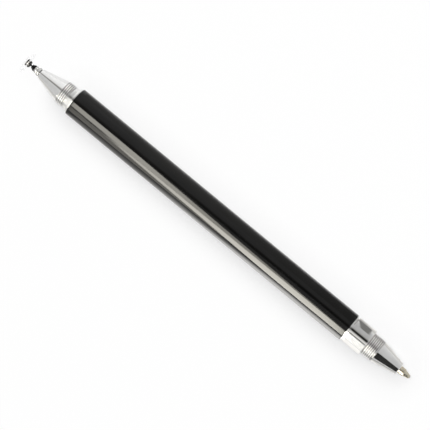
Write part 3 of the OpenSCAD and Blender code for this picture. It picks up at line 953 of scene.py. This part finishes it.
def add_floor():
    """A matt floor that takes light and shadow, with part of its white given to the camera as it is."""
    half = FLOOR_HALF
    corners = [(-half, -half, 0), (half, -half, 0), (half, half, 0), (-half, half, 0)]
    _, tree = stage_object("floor", corners, [(0, 1, 2, 3)])
    lit = add_node(tree, "ShaderNodeBsdfDiffuse", {"Color": FLOOR_GREY})
    white = add_node(tree, "ShaderNodeEmission", {"Color": WHITE, "Strength": 1.0})
    place = add_node(tree, "ShaderNodeTexCoord").outputs["Object"]
    along = add_node(tree, "ShaderNodeSeparateXYZ", {"Vector": place}).outputs["X"]
    first, last = FLOOR_STRETCH
    nearest = add_node(tree, "ShaderNodeClamp", {"Value": along, "Min": first, "Max": last})
    under_pen = add_node(tree, "ShaderNodeCombineXYZ", {"X": nearest.outputs["Result"]}).outputs["Vector"]
    away = add_node(tree, "ShaderNodeVectorMath", {0: place, 1: under_pen}, operation="DISTANCE")
    white_share = ranged(tree, away.outputs["Value"], *FLOOR_WHITE_SHARE, *FLOOR_FADE)
    mixed = add_node(tree, "ShaderNodeMixShader", {
        0: maths(tree, "MULTIPLY", seen_directly(tree), white_share),
        1: lit.outputs["BSDF"],
        2: white.outputs["Emission"],
    })
    add_node(tree, "ShaderNodeOutputMaterial", {"Surface": mixed.outputs["Shader"]})


def mirrored(along_mm, around_deg, distance):
    """A point on the ray that a place along the pen's straight sides mirrors to the camera.

    The angle is taken about the pen from straight up, towards the side where the bright panels stand."""
    x = along_mm * MM
    slant = (x - CAMERA_AT.x) / (CAMERA_AT.z - AXIS_Z)
    angle = math.radians(around_deg)
    return Vector((x, 0, AXIS_Z)) + distance * Vector((slant, -math.sin(angle), math.cos(angle)))


def slanted(along_mm, slant_deg, around_deg, distance):
    """A point on the ray that leaves a place along the pen at a slant towards the writing point."""
    angle = math.radians(around_deg)
    direction = Vector((math.tan(math.radians(slant_deg)), -math.sin(angle), math.cos(angle)))
    return Vector((along_mm * MM, 0, AXIS_Z)) + distance * direction


def beside(along_mm, across, height=PANEL_LIFT):
    """A point beside the pen, on the floor unless a height is given."""
    return Vector((along_mm * MM, across, height))


def add_panel(name, rows, tint=CARD_TINT):
    """A panel that only gloss sees, from rows of (point, brightness) with as many points in each row."""
    width = len(rows[0])
    points = [point for row in rows for point, _ in row]
    starts = [
        row * width + column for row in range(len(rows) - 1) for column in range(width - 1)
    ]
    faces = [(start, start + 1, start + width + 1, start + width) for start in starts]
    panel, tree = stage_object(name, points, faces)
    brightness = panel.data.attributes.new("brightness", "FLOAT", "POINT")
    brightness.data.foreach_set("value", [value for row in rows for _, value in row])
    level = add_node(tree, "ShaderNodeAttribute", attribute_name="brightness").outputs["Fac"]
    scattered = add_node(tree, "ShaderNodeLightPath").outputs["Diffuse Depth"]
    shown = ranged(tree, scattered, 1.0, 0.0, 0.0, 1.0)
    glow = add_node(tree, "ShaderNodeEmission", {
        "Color": (*tint, 1), "Strength": maths(tree, "MULTIPLY", level, shown),
    })
    add_node(tree, "ShaderNodeOutputMaterial", {"Surface": glow.outputs["Emission"]})
    panel.visible_camera = False
    panel.visible_diffuse = False
    panel.visible_transmission = False
    panel.visible_shadow = False


def add_panels():
    for name, (distance, tint, stations) in SOFT_BOXES.items():
        add_panel(name, [
            [(mirrored(along, first, distance), level), (mirrored(along, last, distance), level)]
            for along, first, last, level in stations
        ], tint)
    for name, (side, stations) in FLOOR_PANELS.items():
        add_panel(name, [
            [(beside(along, side * across), level) for across, level in zip(FLOOR_DISTANCES, levels)]
            for along, levels in stations
        ])
    add_panel("overhead_gap", [
        [(slanted(0, slant, angle, GAP_DISTANCE), shade)
         for angle, shade in zip(GAP_ANGLES, (edge, level, level))]
        for slant, edge, level in OVERHEAD_GAP
    ])
    add_panel("dark_opening", [
        [(slanted(OPENING_AT, slant, angle, BOX_DISTANCE), OPENING_LEVEL) for angle in OPENING_ANGLES]
        for slant in OPENING_SLANTS
    ])
    add_panel("far_wall", [
        [(mirrored(along, top_angle, BOX_DISTANCE), level),
         (mirrored(along, LEVEL_WITH_AXIS, BOX_DISTANCE), level),
         (beside(along, FAR_WALL_FOOT), level)]
        for along, top_angle, level in FAR_WALL
    ])
    add_panel("collar_block", [
        [(mirrored(top, BLOCK_TOP_ANGLE, CLOSE_DISTANCE), BLOCK_LEVEL),
         (mirrored(side, LEVEL_WITH_AXIS, CLOSE_DISTANCE), BLOCK_LEVEL),
         (beside(foot, BLOCK_FOOT), BLOCK_LEVEL)]
        for top, side, foot in COLLAR_BLOCK
    ])
    for name, (distance, places, levels) in CARDS.items():
        add_panel(name, [
            [(mirrored(along, angle, distance), level * share) for angle, level in levels]
            for along, share in places
        ])
    add_panel("neck_strip", [
        [(beside(along, -CLOSE_DISTANCE, height), STRIP_LEVEL) for height in STRIP_HEIGHTS]
        for along in NECK_STRIP
    ])


def add_lamp(name, place, size, energy):
    """A soft lamp that lights the pen and the floor but isn't seen in the gloss."""
    data = bpy.data.lights.new(name, "AREA")
    data.shape = "RECTANGLE"
    data.size = size
    data.size_y = size
    data.energy = energy
    lamp = bpy.data.objects.new(name, data)
    bpy.context.scene.collection.objects.link(lamp)
    lamp.location = place
    lamp.rotation_euler = (-place).to_track_quat("-Z", "Y").to_euler()
    lamp.visible_glossy = False


def add_surroundings():
    """Pale surroundings, dimmer overhead and brighter past the pen's ends, plain white for the camera."""
    world = bpy.data.worlds.new("surroundings")
    bpy.context.scene.world = world
    world.use_nodes = True
    tree = world.node_tree
    tree.nodes.clear()
    direction = add_node(tree, "ShaderNodeTexCoord").outputs["Generated"]
    parts = add_node(tree, "ShaderNodeSeparateXYZ", {"Vector": direction}).outputs
    by_height = ranged(tree, parts["Z"], HORIZON_LEVEL, OVERHEAD_LEVEL, 0.0, 1.0)
    sideways = maths(tree, "MULTIPLY_ADD", parts["Y"], PAST_DISC_LEVEL, PAST_DISC_LEVEL)
    past_disc = ranged(tree, parts["X"], 1.0, 0.0, -1.0, 0.0)
    past_point = ranged(tree, parts["X"], 0.0, PAST_POINT_LEVEL, 0.0, 1.0)
    level = maths(tree, "ADD", maths(tree, "MULTIPLY_ADD", past_disc, sideways, by_height), past_point)
    scattered = add_node(tree, "ShaderNodeLightPath").outputs["Is Diffuse Ray"]
    dimmed = ranged(tree, scattered, 1.0, SCATTERED_SHARE, 0.0, 1.0)
    pale = add_node(tree, "ShaderNodeBackground", {
        "Color": WHITE, "Strength": maths(tree, "MULTIPLY", level, dimmed),
    })
    white = add_node(tree, "ShaderNodeBackground", {"Color": WHITE, "Strength": 1.0})
    mixed = add_node(tree, "ShaderNodeMixShader", {
        0: seen_directly(tree), 1: pale.outputs["Background"], 2: white.outputs["Background"],
    })
    add_node(tree, "ShaderNodeOutputWorld", {"Surface": mixed.outputs["Shader"]})


add_camera()
add_barrel()
add_stylus_end()
add_disc_tip()
add_pen_end()
add_refill()
finish_inner_pieces()
add_floor()
add_panels()
for lamp_name, lamp_values in LAMPS.items():
    add_lamp(lamp_name, *lamp_values)
add_surroundings()
bpy.context.scene.view_settings.view_transform = "Standard"
